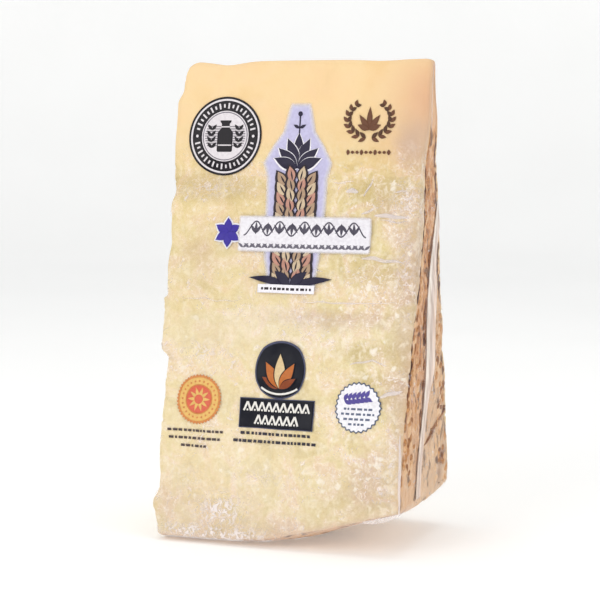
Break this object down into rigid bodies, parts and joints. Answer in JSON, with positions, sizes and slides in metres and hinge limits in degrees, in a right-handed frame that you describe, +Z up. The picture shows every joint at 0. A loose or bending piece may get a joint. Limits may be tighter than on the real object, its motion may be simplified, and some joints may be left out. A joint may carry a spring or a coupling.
{
  "type": "parmesan chunk",
  "caption": "Wedge of hard grating cheese in clear vacuum film, standing on its curved rim with the rind along one side and a thin tip on top.",
  "frame": {"origin": "centre of the bounding box's base, on the plane that the rim's flat spot rests on", "axes": "+Z up from the rim to the thin tip, +X towards the rind side, -Y out of the broad printed cut face"},
  "size_m": [0.1152, 0.076, 0.2008],
  "materials": {
    "cheese_paste": "pale straw-yellow aged cheese paste, grainy and broken, with small white crystals",
    "cheese_rind": "dry brown natural rind, streaked and pitted",
    "clear_film": "clear glossy shrunk food film, slightly creased",
    "sealed_film": "milky doubled film of the welded seal",
    "film_print": "flat printing inks on the film, in plain fields of colour"
  },
  "bodies": {
    "root": {"wrapped_chunk": "cheese_paste"}
  },
  "joints": []
}
